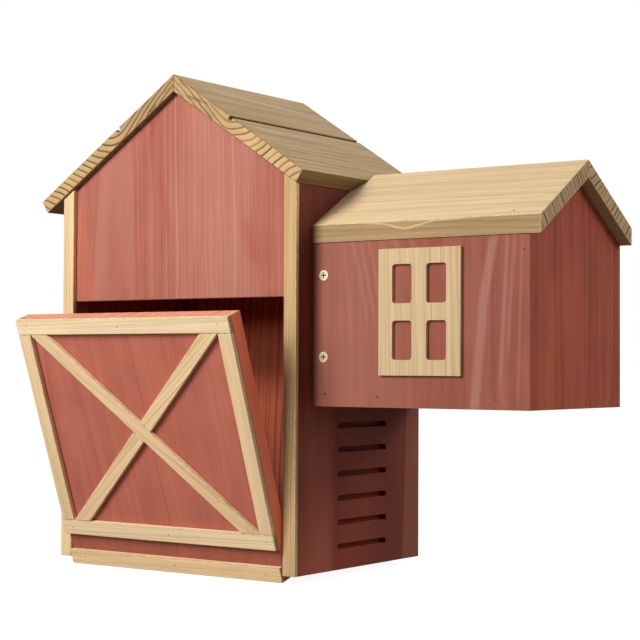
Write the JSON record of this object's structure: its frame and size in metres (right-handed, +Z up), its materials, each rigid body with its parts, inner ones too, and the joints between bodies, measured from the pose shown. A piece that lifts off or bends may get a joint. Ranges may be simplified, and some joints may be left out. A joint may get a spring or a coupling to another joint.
{
  "type": "squirrel feeder box",
  "caption": "Barn-shaped wooden squirrel feeder box with pine gable roofs, a tilting braced hatch at the front and a gabled entrance annexe on its right wall.",
  "frame": {"origin": "centre of the barn's base: the middle of its width and depth, on the underside of the floor", "axes": "+X to the right along the front, towards the annexe; +Y to the back, out of the face that goes against the wall; +Z up"},
  "size_m": [0.4767, 0.2518, 0.4109],
  "materials": {
    "red_stained_pine": "semi-transparent red stain, grain showing",
    "natural_pine": "bare planed pine, fine grain",
    "screw_brass": "yellow zinc, satin"
  },
  "bodies": {
    "box": {"left_wall": "red_stained_pine", "right_wall": "red_stained_pine", "back_panel": "red_stained_pine", "floor": "red_stained_pine", "gable_panel": "red_stained_pine", "left_corner_post": "natural_pine", "right_corner_post": "natural_pine", "roof_left": "natural_pine", "roof_right": "natural_pine", "left_door_pin": "natural_pine", "right_door_pin": "natural_pine", "annexe_front_wall": "red_stained_pine", "annexe_back_wall": "red_stained_pine", "annexe_end_wall": "red_stained_pine", "annexe_floor": "red_stained_pine", "annexe_roof_front": "natural_pine", "annexe_roof_back": "natural_pine", "window_frame": "natural_pine", "front_cleat": "natural_pine", "back_cleat": "natural_pine", "front_upper_screw": "screw_brass", "front_lower_screw": "screw_brass", "back_upper_screw": "screw_brass", "back_lower_screw": "screw_brass"},
    "door": {"door_panel": "red_stained_pine", "door_top_rail": "natural_pine", "door_bottom_rail": "natural_pine", "door_left_stile": "natural_pine", "door_right_stile": "natural_pine", "door_long_brace": "natural_pine", "door_upper_brace": "natural_pine", "door_lower_brace": "natural_pine", "door_base_trim": "natural_pine"}
  },
  "joints": [
    {"name": "door_tilt", "type": "hinge", "parent": "box", "child": "door", "pos_m": [0, -0.084, 0.008], "axis": [1, 0, 0], "range_deg": [-19.1, 0]}
  ]
}
